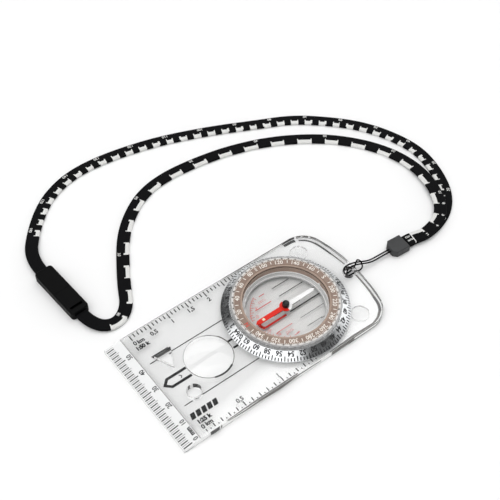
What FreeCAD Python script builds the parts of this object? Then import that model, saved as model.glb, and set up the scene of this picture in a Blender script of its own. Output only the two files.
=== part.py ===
import FreeCAD, Part
import math
import os
from FreeCAD import Vector

# Baseplate compass with a rotating liquid capsule and a flat woven neck lanyard. Millimetres, +Z up.
# +Y is the direction of travel, +X is east of the dial. The origin is on the surface that the
# plate lies on, under the middle of the plate.

os.makedirs("parts", exist_ok=True)

# Clear plate
PLATE_W = 61.0
PLATE_L = 116.8
PLATE_T = 3.0
REAR_ARCH_R = 88.0
REAR_CORNER_R = 12.0
RAMP_Y = 49.9
RAMP_EDGE_Z = 1.5
LENS_Y = 24.3
LENS_R = 11.0
LENS_SINK = 0.5
LENS_CROWN = 1.3
STENCIL_HOLE_R = 3.3
STENCIL_HOLE_XY = (-10.2, 39.1)
TRIANGLE = ((14.2, 34.6), (14.2, 43.2), (5.1, 38.9))
LANYARD_HOLE_R = 2.8
LANYARD_HOLE_XY = (-1.2, -54.6)
CORD_RELIEF = (4.6, 1.3)
FOOT_R = 4.2
FOOT_T = 1.2
FOOT_XY = ((21.8, -43.6), (-21.8, -43.6))

# Dial, capsule and needle, all round about one vertical axis
DIAL_Y = -18.3
SEAT_R = 21.2
UNDERCUT_R = 24.4
UNDERCUT_Z = 1.6
WASHER_T = 0.3
RUN = 0.10
SLEEVE_R = SEAT_R - RUN
CUP_R = 20.4
CUP_WALL = 0.9
CUP_FLOOR_Z = 1.3
CUP_FLOOR_T = 1.0
CUP_TOP_Z = 7.5
LENS_COVER_T = 1.0
SKIRT_R = 29.2
SKIRT_LIP = 0.6
SKIRT_TOP_R = 25.4
SKIRT_TOP_Z = 6.6
GRIP_R = 25.2
GRIP_TOP_Z = 8.7
SCALLOPS = 48
SCALLOP_R = 1.0
DEGREE_R = 24.3
DEGREE_T = 0.5
NEEDLE_Z = 4.3
NEEDLE_ANGLE = 0.0
NEEDLE_T = 0.25
NEEDLE_LEN = 16.5
NEEDLE_W = 2.3
PIVOT_TIP_Z = 4.65
HUB_R = 1.6
HUB_TOP_Z = 7.1

# Lanyard
CORD_D = 0.8
TAPE_W = 6.2
TAPE_T = 1.4
CRIMP_FACE = Vector(-3.0, -78.4, 2.0)
CRIMP_HEADING = 266.0
CRIMP_SIZE = (8.8, 8.4, 4.0)
BUCKLE_CENTRE = Vector(68.7, 56.9, 2.1)
BUCKLE_HEADING = 3.7
BUCKLE_SIZE = (30.6, 9.2, 4.8)
PLUG_LEN = 14.6
TONGUE = (10.0, 5.0, 2.4)
BUCKLE_GAP = 0.12

UP = Vector(0, 0, 1)
DIAL_CENTRE = Vector(0, DIAL_Y, 0)


def save(name, shape):
    if not shape.isValid():
        raise SystemExit(name + " is not valid")
    shape.exportStep("parts/" + name + ".step")
    print(name, len(shape.Solids), "solids,", round(shape.Volume, 2), "mm3")


def box(x0, x1, y0, y1, z0, z1):
    return Part.makeBox(x1 - x0, y1 - y0, z1 - z0, Vector(x0, y0, z0))


def disc(radius, z0, z1, centre=DIAL_CENTRE):
    return Part.makeCylinder(radius, z1 - z0, Vector(centre.x, centre.y, z0))


def ring(inner, outer, z0, z1, centre=DIAL_CENTRE):
    return disc(outer, z0, z1, centre).cut(disc(inner, z0 - 1, z1 + 1, centre))


def prism(outline, z0, z1):
    points = [Vector(x, y, z0) for x, y in outline]
    return Part.Face(Part.makePolygon(points + points[:1])).extrude(UP * (z1 - z0))


def revolved(profile, centre=DIAL_CENTRE):
    """A solid turned about the vertical line through centre, from points of radius and height."""
    points = [Vector(centre.x + r, centre.y, z) for r, z in profile]
    return Part.Face(Part.makePolygon(points + points[:1])).revolve(centre, UP, 360)


def heading(degrees):
    return Vector(math.cos(math.radians(degrees)), math.sin(math.radians(degrees)), 0)


def aimed(shape, origin, degrees):
    """A shape drawn along +X from its own origin, turned to a heading and set down at a point."""
    turned = shape.copy()
    turned.rotate(Vector(0, 0, 0), UP, degrees)
    turned.translate(Vector(origin.x, origin.y, 0))
    return turned


# ---- Plate ----

def plate_outline():
    half_w = PLATE_W / 2
    half_l = PLATE_L / 2
    arch_y = REAR_ARCH_R - half_l
    corner_x = half_w - REAR_CORNER_R
    reach = REAR_ARCH_R - REAR_CORNER_R
    corner_y = arch_y - math.sqrt(reach ** 2 - corner_x ** 2)
    lean = math.atan2(corner_y - arch_y, corner_x)
    middle = lean / 2
    join = Vector(REAR_ARCH_R * math.cos(lean), arch_y + REAR_ARCH_R * math.sin(lean), 0)
    bend = Vector(corner_x + REAR_CORNER_R * math.cos(middle),
                  corner_y + REAR_CORNER_R * math.sin(middle), 0)
    side = Vector(half_w, corner_y, 0)
    front = Vector(half_w, half_l, 0)

    def mirrored(p):
        return Vector(-p.x, p.y, 0)

    edges = [Part.LineSegment(mirrored(front), front).toShape(),
             Part.LineSegment(front, side).toShape(),
             Part.Arc(side, bend, join).toShape(),
             Part.Arc(join, Vector(0, -half_l, 0), mirrored(join)).toShape(),
             Part.Arc(mirrored(join), mirrored(bend), mirrored(side)).toShape(),
             Part.LineSegment(mirrored(side), mirrored(front)).toShape()]
    return Part.Wire(edges)


def front_ramp():
    """The wedge taken off the top, from the step line to the ruler edge."""
    half_l = PLATE_L / 2
    wedge = [(RAMP_Y, PLATE_T), (RAMP_Y + 0.5, PLATE_T - 0.35), (half_l + 0.1, RAMP_EDGE_Z),
             (half_l + 0.1, PLATE_T + 1), (RAMP_Y, PLATE_T + 1)]
    points = [Vector(-PLATE_W, y, z) for y, z in wedge]
    return Part.Face(Part.makePolygon(points + points[:1])).extrude(Vector(2 * PLATE_W, 0, 0))


def magnifier():
    """A plano-convex lens moulded in the plate, its rim a little below the top face."""
    base_z = PLATE_T - LENS_SINK
    ball_r = (LENS_R ** 2 + LENS_CROWN ** 2) / (2 * LENS_CROWN)
    ball = Part.makeSphere(ball_r, Vector(0, LENS_Y, base_z + LENS_CROWN - ball_r))
    return ball.common(disc(LENS_R, base_z - 0.4, base_z + 3, Vector(0, LENS_Y, 0)))


def baseplate():
    plate = Part.Face(plate_outline()).extrude(UP * PLATE_T)
    plate = plate.cut(front_ramp())
    lens_centre = Vector(0, LENS_Y, 0)
    plate = plate.cut(disc(LENS_R, PLATE_T - LENS_SINK, PLATE_T + 1, lens_centre))
    plate = plate.fuse(magnifier())
    plate = plate.cut(disc(STENCIL_HOLE_R, -1, PLATE_T + 1, Vector(*STENCIL_HOLE_XY, 0)))
    plate = plate.cut(prism(TRIANGLE, -1, PLATE_T + 1))
    hole = Vector(*LANYARD_HOLE_XY, 0)
    plate = plate.cut(disc(LANYARD_HOLE_R, -1, PLATE_T + 1, hole))
    relief_w, relief_z = CORD_RELIEF
    relief = box(hole.x - relief_w / 2, hole.x + relief_w / 2, -PLATE_L, hole.y, -1, relief_z)
    plate = plate.cut(relief)
    plate = plate.cut(disc(SEAT_R, -1, PLATE_T + 1))
    plate = plate.cut(disc(UNDERCUT_R, -1, UNDERCUT_Z))
    for x, y in FOOT_XY:
        plate = plate.cut(disc(FOOT_R, -1, FOOT_T, Vector(x, y, 0)))
    return plate.removeSplitter()


# ---- Dial, from the plate up ----

def friction_washer():
    return ring(SEAT_R + 0.1, UNDERCUT_R, UNDERCUT_Z - WASHER_T, UNDERCUT_Z)


def retaining_ring():
    """Snaps round the foot of the grip ring's sleeve and keeps the dial in the plate."""
    top = UNDERCUT_Z - WASHER_T - RUN
    return ring(SLEEVE_R, UNDERCUT_R - 0.6, 0.25, top)


def mil_skirt():
    low = PLATE_T + RUN
    inner = SLEEVE_R
    outer = [(inner, low), (SKIRT_R, low), (SKIRT_R, low + SKIRT_LIP), (SKIRT_TOP_R, SKIRT_TOP_Z)]
    return revolved(outer + [(inner, SKIRT_TOP_Z)])


def grip_ring():
    """Clear ring with finger scallops, on a sleeve that turns in the plate's hole."""
    under = GRIP_TOP_Z - DEGREE_T
    profile = [(CUP_R, 0.25), (SLEEVE_R, 0.25), (SLEEVE_R, SKIRT_TOP_Z), (GRIP_R, SKIRT_TOP_Z),
               (GRIP_R, GRIP_TOP_Z), (DEGREE_R, GRIP_TOP_Z), (DEGREE_R, under),
               (CUP_R + 0.5, under), (CUP_R + 0.5, CUP_TOP_Z), (CUP_R, CUP_TOP_Z)]
    body = revolved(profile)
    scallops = []
    for i in range(SCALLOPS):
        spoke = heading(360.0 * i / SCALLOPS) * (GRIP_R + 0.65 * SCALLOP_R)
        scallops.append(disc(SCALLOP_R, SKIRT_TOP_Z - 1, GRIP_TOP_Z + 1, DIAL_CENTRE + spoke))
    return body.cut(Part.makeCompound(scallops))


def degree_ring():
    """The printed brown ring, with a lip that hangs down round the capsule's cover."""
    under = GRIP_TOP_Z - DEGREE_T
    return revolved([(CUP_R, CUP_TOP_Z), (CUP_R + 0.5, CUP_TOP_Z), (CUP_R + 0.5, under),
                     (DEGREE_R, under), (DEGREE_R, GRIP_TOP_Z), (CUP_R, GRIP_TOP_Z)])


def capsule_cup():
    floor_top = CUP_FLOOR_Z + CUP_FLOOR_T
    cup = disc(CUP_R, CUP_FLOOR_Z, CUP_TOP_Z)
    cup = cup.cut(disc(CUP_R - CUP_WALL, floor_top, CUP_TOP_Z + 1))
    cup = cup.cut(disc(1.3, floor_top - 0.4, floor_top + 1))
    return cup.cut(fill_plug())


def fill_plug():
    """The small plug that closes the filling hole in the capsule's wall."""
    start = DIAL_CENTRE + Vector(0, -CUP_R, 5.0)
    plug = Part.makeCylinder(0.7, CUP_WALL + 0.3, start, Vector(0, 1, 0))
    return plug.common(disc(CUP_R, 0, CUP_TOP_Z))


def capsule_seal():
    return ring(CUP_R - 0.75, CUP_R - 0.15, CUP_TOP_Z, CUP_TOP_Z + 0.25)


def capsule_lens():
    """The clear cover, stepped to hold the seal and crowned in the middle."""
    low = CUP_TOP_Z
    top = low + LENS_COVER_T
    plain = disc(CUP_R, low, top)
    groove = ring(CUP_R - 0.75, CUP_R - 0.15, low - 1, low + 0.25)
    crown = revolved([(0, top), (CUP_R - 1.6, top), (CUP_R - 2.4, top + 0.35), (0, top + 0.35)])
    return plain.cut(groove).fuse(crown).removeSplitter()


def pivot_seat():
    base = CUP_FLOOR_Z + CUP_FLOOR_T - 0.4
    return revolved([(0.45, base), (1.3, base), (1.3, base + 0.8), (0.8, base + 1.3),
                     (0.45, base + 1.3)])


def pivot_pin():
    base = CUP_FLOOR_Z + CUP_FLOOR_T - 0.4
    return revolved([(0, base), (0.45, base), (0.45, PIVOT_TIP_Z - 0.7), (0.03, PIVOT_TIP_Z),
                     (0, PIVOT_TIP_Z)])


# ---- Needle, drawn pointing along +X and turned to the heading it rests at ----

def needle_half(sign, tip_w):
    hub = 2.6
    outline = [(sign * hub, -NEEDLE_W / 2), (sign * (NEEDLE_LEN - 1.2), -tip_w / 2),
               (sign * NEEDLE_LEN, 0), (sign * (NEEDLE_LEN - 1.2), tip_w / 2),
               (sign * hub, NEEDLE_W / 2)]
    arm = prism(outline, NEEDLE_Z, NEEDLE_Z + NEEDLE_T)
    pad = ring(1.25, hub + 0.3, NEEDLE_Z, NEEDLE_Z + NEEDLE_T, Vector(0, 0, 0))
    half = box(min(0, sign * 5), max(0, sign * 5), -5, 5, 0, 10)
    return arm.fuse(pad.common(half)).removeSplitter()


def luminous_dot():
    return box(NEEDLE_LEN - 4.6, NEEDLE_LEN - 3.4, -0.6, 0.6, NEEDLE_Z + NEEDLE_T,
               NEEDLE_Z + NEEDLE_T + 0.08)


def needle_magnet():
    """A bar magnet under the arms, with a hole for the hub."""
    bar = box(-7.5, 7.5, -0.9, 0.9, NEEDLE_Z - 0.9, NEEDLE_Z)
    hub = disc(2.0, NEEDLE_Z - 0.9, NEEDLE_Z, Vector(0, 0, 0))
    return bar.fuse(hub).cut(disc(1.25, 0, 20, Vector(0, 0, 0))).removeSplitter()


def jewel_cup():
    """The hard bearing cup that sits on the pivot's tip."""
    low = NEEDLE_Z - 0.6
    top = PIVOT_TIP_Z + 0.2
    return revolved([(0.6, low), (1.25, low), (1.25, top), (0, top), (0, PIVOT_TIP_Z + 0.03),
                     (0.6, PIVOT_TIP_Z - 0.55)], Vector(0, 0, 0))


def hub_cap():
    low = NEEDLE_Z + NEEDLE_T
    jewel_top = PIVOT_TIP_Z + 0.2
    return revolved([(1.25, low), (HUB_R, low), (HUB_R, HUB_TOP_Z - 0.4), (HUB_R - 0.4, HUB_TOP_Z),
                     (0, HUB_TOP_Z), (0, jewel_top), (1.25, jewel_top)], Vector(0, 0, 0))


def on_needle(shape):
    return aimed(shape, DIAL_CENTRE, 90 + NEEDLE_ANGLE)


# ---- Lanyard: routes are straight runs joined by tangent arcs ----

def route_path(name, points):
    """One wire of runs and arcs; each arc is as large as its two runs allow."""
    edges = []
    radii = []
    last = points[0]
    for before, corner, after in zip(points, points[1:], points[2:]):
        arm_in = before - corner
        arm_out = after - corner
        turn = math.pi - arm_in.getAngle(arm_out)
        reach = 0.45 * min(arm_in.Length, arm_out.Length)
        radius = reach / math.tan(turn / 2)
        arm_in.normalize()
        arm_out.normalize()
        start = corner + arm_in * reach
        end = corner + arm_out * reach
        inward = arm_in + arm_out
        inward.normalize()
        crest = corner + inward * (radius / math.cos(turn / 2) - radius)
        edges.append(Part.LineSegment(last, start).toShape())
        edges.append(Part.Arc(start, crest, end).toShape())
        radii.append(round(radius, 1))
        last = end
    edges.append(Part.LineSegment(last, points[-1]).toShape())
    wire = Part.Wire(edges)
    print(name, "length", round(wire.Length, 1), "radii", radii)
    return wire


def swept(name, points, section, area, upright):
    wire = route_path(name, points)
    pipe = Part.BRepOffsetAPI.MakePipeShell(wire)
    if upright:
        pipe.setBiNormalMode(UP)
    pipe.add(section, False, False)
    pipe.build()
    pipe.makeSolid()
    solid = Part.Solid(Part.Shell(pipe.shape().Faces))
    print(name, "volume", round(solid.Volume, 1), "section x length", round(area * wire.Length, 1))
    return solid


def cord(name, points):
    start = points[0]
    along = points[1] - start
    circle = Part.Wire(Part.Circle(start, along, CORD_D / 2).toShape())
    return swept(name, points, circle, math.pi * CORD_D ** 2 / 4, False)


def tape(name, points):
    """A flat tape that stays level across its width."""
    start = points[0]
    along = points[1] - start
    along.normalize()
    side = along.cross(UP) * (TAPE_W / 2)
    lift = UP * (TAPE_T / 2)
    corners = [start + side + lift, start + side - lift, start - side - lift, start - side + lift]
    section = Part.makePolygon(corners + corners[:1])
    return swept(name, points, section, TAPE_W * TAPE_T, True)


def crimp_shell(z0, z1, eased_z):
    """Half of the moulded crimp, with its cord end narrowed and the edges at one height eased."""
    length, width, _ = CRIMP_SIZE
    half = width / 2
    nose = half - 1.8
    outline = [(0, -nose), (1.8, -half), (length, -half), (length, half), (1.8, half), (0, nose)]
    shell = prism(outline, z0, z1)
    rim = [e for e in shell.Edges if e.BoundBox.ZLength < 0.01 and abs(e.BoundBox.ZMin - eased_z) < 0.01]
    return aimed(shell.makeFillet(0.5, rim), CRIMP_FACE, CRIMP_HEADING)


def buckle_block(x0, x1, end_x):
    """A length of the buckle's outer form, rounded at its tape end and eased along its length."""
    _, width, height = BUCKLE_SIZE
    block = box(x0, x1, -width / 2, width / 2, 0, height)
    upright = [e for e in block.Edges if e.BoundBox.ZLength > 1 and abs(e.BoundBox.XMin - end_x) < 0.01]
    block = block.makeFillet(1.6, upright)
    return block.makeFillet(0.7, [e for e in block.Edges if e.BoundBox.XLength > 5])


def buckle_socket():
    """Half with a cavity for the tongue, open towards the plug, and a bar that holds the tape."""
    length, _, height = BUCKLE_SIZE
    seam = PLUG_LEN - length / 2
    body = buckle_block(seam, length / 2, length / 2)
    tongue_len, tongue_w, tongue_t = TONGUE
    reach = tongue_w / 2 + BUCKLE_GAP
    low = (height - tongue_t) / 2 - BUCKLE_GAP
    cavity = box(seam - 1, seam + tongue_len + 0.4, -reach, reach, low, height - low)
    return aimed(body.cut(cavity), BUCKLE_CENTRE, BUCKLE_HEADING)


def buckle_plug():
    """Half with the tongue, and a slot through its tail that the tape is threaded into."""
    length, _, height = BUCKLE_SIZE
    seam = PLUG_LEN - length / 2 - BUCKLE_GAP
    body = buckle_block(-length / 2, seam, -length / 2)
    slot_x = -length / 2 + 2.6
    body = body.cut(box(slot_x, slot_x + 1.4, -3.2, 3.2, height - 1.6, height + 1))
    tongue_len, tongue_w, tongue_t = TONGUE
    low = (height - tongue_t) / 2
    tongue = box(seam - 1, seam + tongue_len, -tongue_w / 2, tongue_w / 2, low, low + tongue_t)
    return aimed(body.fuse(tongue).removeSplitter(), BUCKLE_CENTRE, BUCKLE_HEADING)


def routes():
    """The three routes of the lanyard: the thin cord's hitch and the two strands of tape."""
    along = heading(CRIMP_HEADING)
    across = heading(CRIMP_HEADING + 90)
    face = CRIMP_FACE
    back = face + along * CRIMP_SIZE[0]
    east = face + across * 0.65
    west = face - across * 0.65
    hitch = [east, east - along * 5.0, Vector(-2.05, -66.6, 2.5), Vector(-0.75, -61.9, 3.9),
             Vector(0.3, -58.6, 4.6), Vector(1.0, -55.6, 4.6), Vector(0.9, -53.0, 4.0),
             Vector(-0.3, -52.6, 2.4), Vector(-0.7, -53.2, 1.0), Vector(-0.5, -55.2, 0.6),
             Vector(-0.3, -57.6, 0.6), Vector(0.4, -59.9, 1.0), Vector(0.9, -60.9, 2.8),
             Vector(0.6, -61.0, 5.0), Vector(-1.4, -61.2, 5.9), Vector(-3.3, -61.0, 4.6),
             Vector(-3.4, -60.7, 2.4), Vector(-2.7, -59.7, 0.9), Vector(-2.2, -57.5, 0.6),
             Vector(-2.0, -55.2, 0.6), Vector(-2.1, -53.3, 1.0), Vector(-1.9, -52.8, 2.4),
             Vector(-0.9, -53.8, 3.9), Vector(-0.7, -56.0, 4.4), Vector(-1.1, -58.8, 4.4),
             Vector(-2.1, -62.0, 3.7), Vector(-3.35, -66.6, 2.5), west - along * 5.0, west]
    floor = TAPE_T / 2
    low = Vector(back.x, back.y, 1.3)
    high = Vector(back.x, back.y, 1.3 + TAPE_T)
    aim = heading(BUCKLE_HEADING)
    socket_end = BUCKLE_CENTRE + aim * (BUCKLE_SIZE[0] / 2)
    plug_end = BUCKLE_CENTRE - aim * (BUCKLE_SIZE[0] / 2)
    outer_xy = [(-5.2, -98.8), (-4.2, -108.0), (0.0, -118.2), (8.5, -126.8), (21.3, -132.6),
                (37.5, -135.2), (54.0, -131.8), (69.8, -124.2), (83.2, -112.3), (94.8, -98.2),
                (102.8, -80.3), (112.3, -58.3), (121.2, -32.3), (126.2, -11.4), (130.3, 1.0),
                (130.2, 12.5), (126.8, 24.7), (121.0, 36.8), (109.8, 48.2)]
    inner_xy = [(-5.8, -97.5, 2.7), (-4.9, -105.0, 2.6), (-1.8, -112.7, 2.6), (5.2, -119.0, 2.6),
                (17.3, -124.0, 2.4), (31.5, -126.0, 1.4), (46.8, -122.8, floor),
                (61.4, -114.2, floor), (75.5, -100.8, floor), (88.5, -80.5, floor),
                (96.5, -58.5, floor), (100.0, -38.5, floor), (101.0, -21.0, floor),
                (98.2, -6.8, floor), (91.0, 5.3, floor), (81.3, 15.8, floor),
                (69.1, 24.0, floor), (56.7, 31.4, floor), (45.4, 36.9, floor),
                (40.1, 44.5, 0.8), (41.8, 51.7, 1.3)]
    outer = [low, low + along * 5.5] + [Vector(x, y, floor) for x, y in outer_xy]
    outer += [socket_end + aim * 11.0, socket_end]
    inner = [high, high + along * 5.5] + [Vector(*p) for p in inner_xy]
    inner += [plug_end - aim * 5.0, plug_end]
    return hitch, outer, inner


def build():
    save("baseplate", baseplate())
    for name, (x, y) in zip(("foot_east", "foot_west"), FOOT_XY):
        save(name, disc(FOOT_R, 0, FOOT_T, Vector(x, y, 0)))
    save("friction_washer", friction_washer())
    save("retaining_ring", retaining_ring())
    save("mil_skirt", mil_skirt())
    save("grip_ring", grip_ring())
    save("degree_ring", degree_ring())
    save("capsule_cup", capsule_cup())
    save("fill_plug", fill_plug())
    save("capsule_seal", capsule_seal())
    save("capsule_lens", capsule_lens())
    save("pivot_seat", pivot_seat())
    save("pivot_pin", pivot_pin())
    save("needle_north", on_needle(needle_half(1, NEEDLE_W)))
    save("needle_south", on_needle(needle_half(-1, NEEDLE_W * 0.8)))
    save("luminous_dot", on_needle(luminous_dot()))
    save("needle_magnet", on_needle(needle_magnet()))
    save("jewel_cup", on_needle(jewel_cup()))
    save("hub_cap", on_needle(hub_cap()))
    split = CRIMP_SIZE[2] / 2
    save("crimp_bottom", crimp_shell(0, split, 0))
    save("crimp_top", crimp_shell(split, CRIMP_SIZE[2], CRIMP_SIZE[2]))
    save("buckle_socket", buckle_socket())
    save("buckle_plug", buckle_plug())
    hitch, outer, inner = routes()
    save("thin_cord", cord("thin_cord", hitch))
    save("tape_outer", tape("tape_outer", outer))
    save("tape_inner", tape("tape_inner", inner))


build()
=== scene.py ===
"""The looks of a baseplate compass and its measuring lanyard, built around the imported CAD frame."""

import math

import bpy
import numpy as np
from mathutils import Matrix, Vector


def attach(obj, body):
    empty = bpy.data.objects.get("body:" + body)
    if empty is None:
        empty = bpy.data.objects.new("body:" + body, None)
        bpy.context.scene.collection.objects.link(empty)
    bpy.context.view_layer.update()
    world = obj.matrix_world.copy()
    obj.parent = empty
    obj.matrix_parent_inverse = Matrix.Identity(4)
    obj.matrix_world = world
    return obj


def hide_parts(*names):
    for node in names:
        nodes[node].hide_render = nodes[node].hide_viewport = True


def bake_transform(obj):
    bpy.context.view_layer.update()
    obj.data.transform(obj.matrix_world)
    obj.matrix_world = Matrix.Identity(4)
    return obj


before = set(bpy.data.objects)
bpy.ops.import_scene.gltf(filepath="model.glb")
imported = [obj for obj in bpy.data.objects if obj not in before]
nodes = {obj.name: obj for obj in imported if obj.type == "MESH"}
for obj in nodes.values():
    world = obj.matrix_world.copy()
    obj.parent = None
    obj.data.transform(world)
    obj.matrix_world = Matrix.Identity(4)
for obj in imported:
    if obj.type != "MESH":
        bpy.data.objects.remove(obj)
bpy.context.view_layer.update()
MM = 0.001

# Driving dimensions of the CAD part, in millimetres
DIAL_Y = -18.3
DIAL = (0.0, DIAL_Y)
LENS = (0.0, 24.3)
LENS_R = 11.0
RAMP_Y = 49.9
PLATE_T = 3.0
FRONT_Y = 58.4
FRONT_T = 1.5
REAR_ARCH_R = 88.0
REAR_CORNER_R = 12.0
PLATE_W = 61.0
TRIANGLE = [(14.26, 34.5), (14.26, 43.3), (4.95, 38.9)]
STENCIL_HOLE = (-10.2, 39.1)
LANYARD_HOLE = (-1.2, -54.6)
CUP_FLOOR_Z = 1.3
CUP_BORE_R = 19.5
CUP_TOP_Z = 7.5
SKIRT_TOP = (25.4, 6.6)
SKIRT_LIP = (29.2, 3.7)
DEGREE_TOP_Z = 8.7
TAPE_W = 6.2
TAPE_T = 1.4
CORD_D = 0.8
CRIMP_FACE = Vector((-3.0, -78.4, 2.0))
CRIMP_LENGTH = 8.8
BUCKLE_CENTRE = Vector((68.7, 56.9, 2.1))
BUCKLE_LENGTH = 30.6

# Where the printed scales start
RULER_ZERO_X = -29.5
MAP_ZERO_Y = 46.1


def heading(degrees):
    """A unit vector on the floor, at that many degrees from +X towards +Y."""
    a = math.radians(degrees)
    return Vector((math.cos(a), math.sin(a), 0))


# ---------------------------------------------------------------- camera
TARGET = Vector((0.03654, -0.02607, 0.0026))
TOWARDS_CAMERA = Vector((-0.5001, 0.3850, 0.7757)).normalized()
CAMERA_DISTANCE = 0.483665
CAMERA_ROLL = 0.00566
camera_data = bpy.data.cameras.new("camera")
camera_data.lens = 74.2
camera_data.sensor_width = 36
camera_data.clip_start = 0.01
camera_data.clip_end = 20
camera = bpy.data.objects.new("camera", camera_data)
bpy.context.scene.collection.objects.link(camera)
turn = TOWARDS_CAMERA.to_track_quat("Z", "Y").to_matrix() @ Matrix.Rotation(CAMERA_ROLL, 3, "Z")
camera.matrix_world = Matrix.Translation(TARGET + TOWARDS_CAMERA * CAMERA_DISTANCE) @ turn.to_4x4()
bpy.context.scene.camera = camera

# ---------------------------------------------------------------- routes of the cord and the tapes
# east and west are the strands' ends at the crimp's front; low and high the tapes' ends at its back
STRAND_OFFSET = 0.65
along = heading(266)
across = heading(356)
back = CRIMP_FACE + along * CRIMP_LENGTH
east = CRIMP_FACE + across * STRAND_OFFSET
west = CRIMP_FACE - across * STRAND_OFFSET
aim = heading(3.7)
socket_end = BUCKLE_CENTRE + aim * (BUCKLE_LENGTH / 2)
plug_end = BUCKLE_CENTRE - aim * (BUCKLE_LENGTH / 2)
low = Vector((back.x, back.y, 1.3))
high = Vector((back.x, back.y, 2.7))

HITCH = [
    east, east - along * 5.0, (-2.05, -66.6, 2.5), (-0.75, -61.9, 3.9), (0.3, -58.6, 4.6),
    (1.0, -55.6, 4.6), (0.9, -53.0, 4.0), (-0.3, -52.6, 2.4), (-0.7, -53.2, 1.0),
    (-0.5, -55.2, 0.6), (-0.3, -57.6, 0.6), (0.4, -59.9, 1.0), (0.9, -60.9, 2.8),
    (0.6, -61.0, 5.0), (-1.4, -61.2, 5.9), (-3.3, -61.0, 4.6), (-3.4, -60.7, 2.4),
    (-2.7, -59.7, 0.9), (-2.2, -57.5, 0.6), (-2.0, -55.2, 0.6), (-2.1, -53.3, 1.0),
    (-1.9, -52.8, 2.4), (-0.9, -53.8, 3.9), (-0.7, -56.0, 4.4), (-1.1, -58.8, 4.4),
    (-2.1, -62.0, 3.7), (-3.35, -66.6, 2.5), west - along * 5.0, west,
]
OUTER = [
    low, low + along * 5.5, (-5.2, -98.8, 0.7), (-4.2, -108.0, 0.7), (0.0, -118.2, 0.7),
    (8.5, -126.8, 0.7), (21.3, -132.6, 0.7), (37.5, -135.8, 0.7), (54.0, -131.8, 0.7),
    (69.5, -123.9, 0.7), (82.8, -112.0, 0.7), (94.8, -98.2, 0.7), (103.2, -80.5, 0.7),
    (113.9, -58.9, 0.7), (123.8, -33.4, 0.7), (128.3, -14.2, 0.7), (130.3, 0.0, 0.7),
    (130.4, 12.5, 0.7), (127.6, 24.5, 0.7), (121.4, 36.2, 0.7), (109.8, 48.2, 0.7),
    socket_end + aim * 11.0, socket_end,
]
INNER = [
    high, high + along * 5.5, (-5.8, -97.5, 2.7), (-4.9, -105.0, 2.6), (-1.8, -112.7, 2.6),
    (5.2, -119.0, 2.6), (17.3, -124.0, 2.4), (31.5, -126.0, 1.4), (46.8, -122.8, 0.7),
    (61.4, -114.2, 0.7), (75.5, -100.8, 0.7), (88.5, -80.5, 0.7), (96.5, -58.5, 0.7),
    (100.0, -38.5, 0.7), (101.0, -21.0, 0.7), (98.2, -6.8, 0.7), (91.0, 5.3, 0.7),
    (81.3, 15.8, 0.7), (69.1, 24.0, 0.7), (56.7, 31.4, 0.7), (45.4, 36.9, 0.7),
    (40.1, 44.5, 0.8), (41.8, 51.7, 1.3), plug_end - aim * 5.0, plug_end,
]


CURVE_STEPS = 24


def spline_line(name, route):
    """The smooth line of a route, in millimetres: the points that its NURBS spline gives."""
    curve = bpy.data.curves.new(name, "CURVE")
    curve.dimensions = "3D"
    curve.resolution_u = CURVE_STEPS
    spline = curve.splines.new("NURBS")
    spline.points.add(len(route) - 1)
    for point, place in zip(spline.points, route):
        point.co = (place[0], place[1], place[2], 1)
    spline.order_u = 3
    spline.use_endpoint_u = True
    spline.resolution_u = CURVE_STEPS
    holder = bpy.data.objects.new(name, curve)
    mesh = bpy.data.meshes.new_from_object(holder)
    line = np.array([v.co for v in mesh.vertices], float)
    bpy.data.objects.remove(holder)
    bpy.data.curves.remove(curve)
    bpy.data.meshes.remove(mesh)
    return line


def even_steps(line, step):
    """The line again, at even steps of about that length, and the distance of each point along it."""
    run = np.r_[0, np.cumsum(np.linalg.norm(np.diff(line, axis=0), axis=1))]
    count = int(round(run[-1] / step))
    s = np.linspace(0, run[-1], count + 1)
    return np.stack([np.interp(s, run, line[:, k]) for k in range(3)], 1), s


def tangents(line):
    """A unit vector along the line at each of its points."""
    t = np.gradient(line, axis=0)
    return t / np.linalg.norm(t, axis=1)[:, None]


# ---------------------------------------------------------------- material nodes
class Graph:
    """Short ways to add shader nodes to one node tree."""

    def __init__(self, tree):
        self.tree = tree

    def add(self, kind, **settings):
        node = self.tree.nodes.new(kind)
        for key, value in settings.items():
            setattr(node, key, value)
        return node

    def link(self, source, target):
        self.tree.links.new(source, target)

    def stretch(self, scale):
        mapping = self.add("ShaderNodeMapping")
        mapping.inputs["Scale"].default_value = scale
        self.link(self.place, mapping.inputs["Vector"])
        return mapping.outputs["Vector"]

    def noise(self, scale, detail=2.0, source=None):
        node = self.add("ShaderNodeTexNoise")
        node.inputs["Scale"].default_value = scale
        node.inputs["Detail"].default_value = detail
        self.link(source or self.place, node.inputs["Vector"])
        return node.outputs["Fac"]

    def span(self, source, low, high, start, end):
        """low to high as the source goes from start to end, held beyond them."""
        node = self.add("ShaderNodeMapRange")
        node.inputs["From Min"].default_value = start
        node.inputs["From Max"].default_value = end
        node.inputs["To Min"].default_value = low
        node.inputs["To Max"].default_value = high
        self.link(source, node.inputs["Value"])
        return node.outputs["Result"]

    def math(self, kind, a, b=None):
        node = self.add("ShaderNodeMath", operation=kind)
        for socket, value in zip(node.inputs, (a, b)):
            if value is None:
                continue
            if hasattr(value, "is_linked"):
                self.link(value, socket)
            else:
                socket.default_value = value
        return node.outputs[0]

    def mix(self, factor, a, b):
        """Colour a where the factor is 0 and b where it is 1; each a socket or a colour."""
        node = self.add("ShaderNodeMix", data_type="RGBA")
        self.link(factor, node.inputs["Factor"])
        for socket, value in ((node.inputs[6], a), (node.inputs[7], b)):
            if hasattr(value, "is_linked"):
                self.link(value, socket)
            else:
                socket.default_value = (*value, 1)
        return node.outputs[2]


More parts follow.
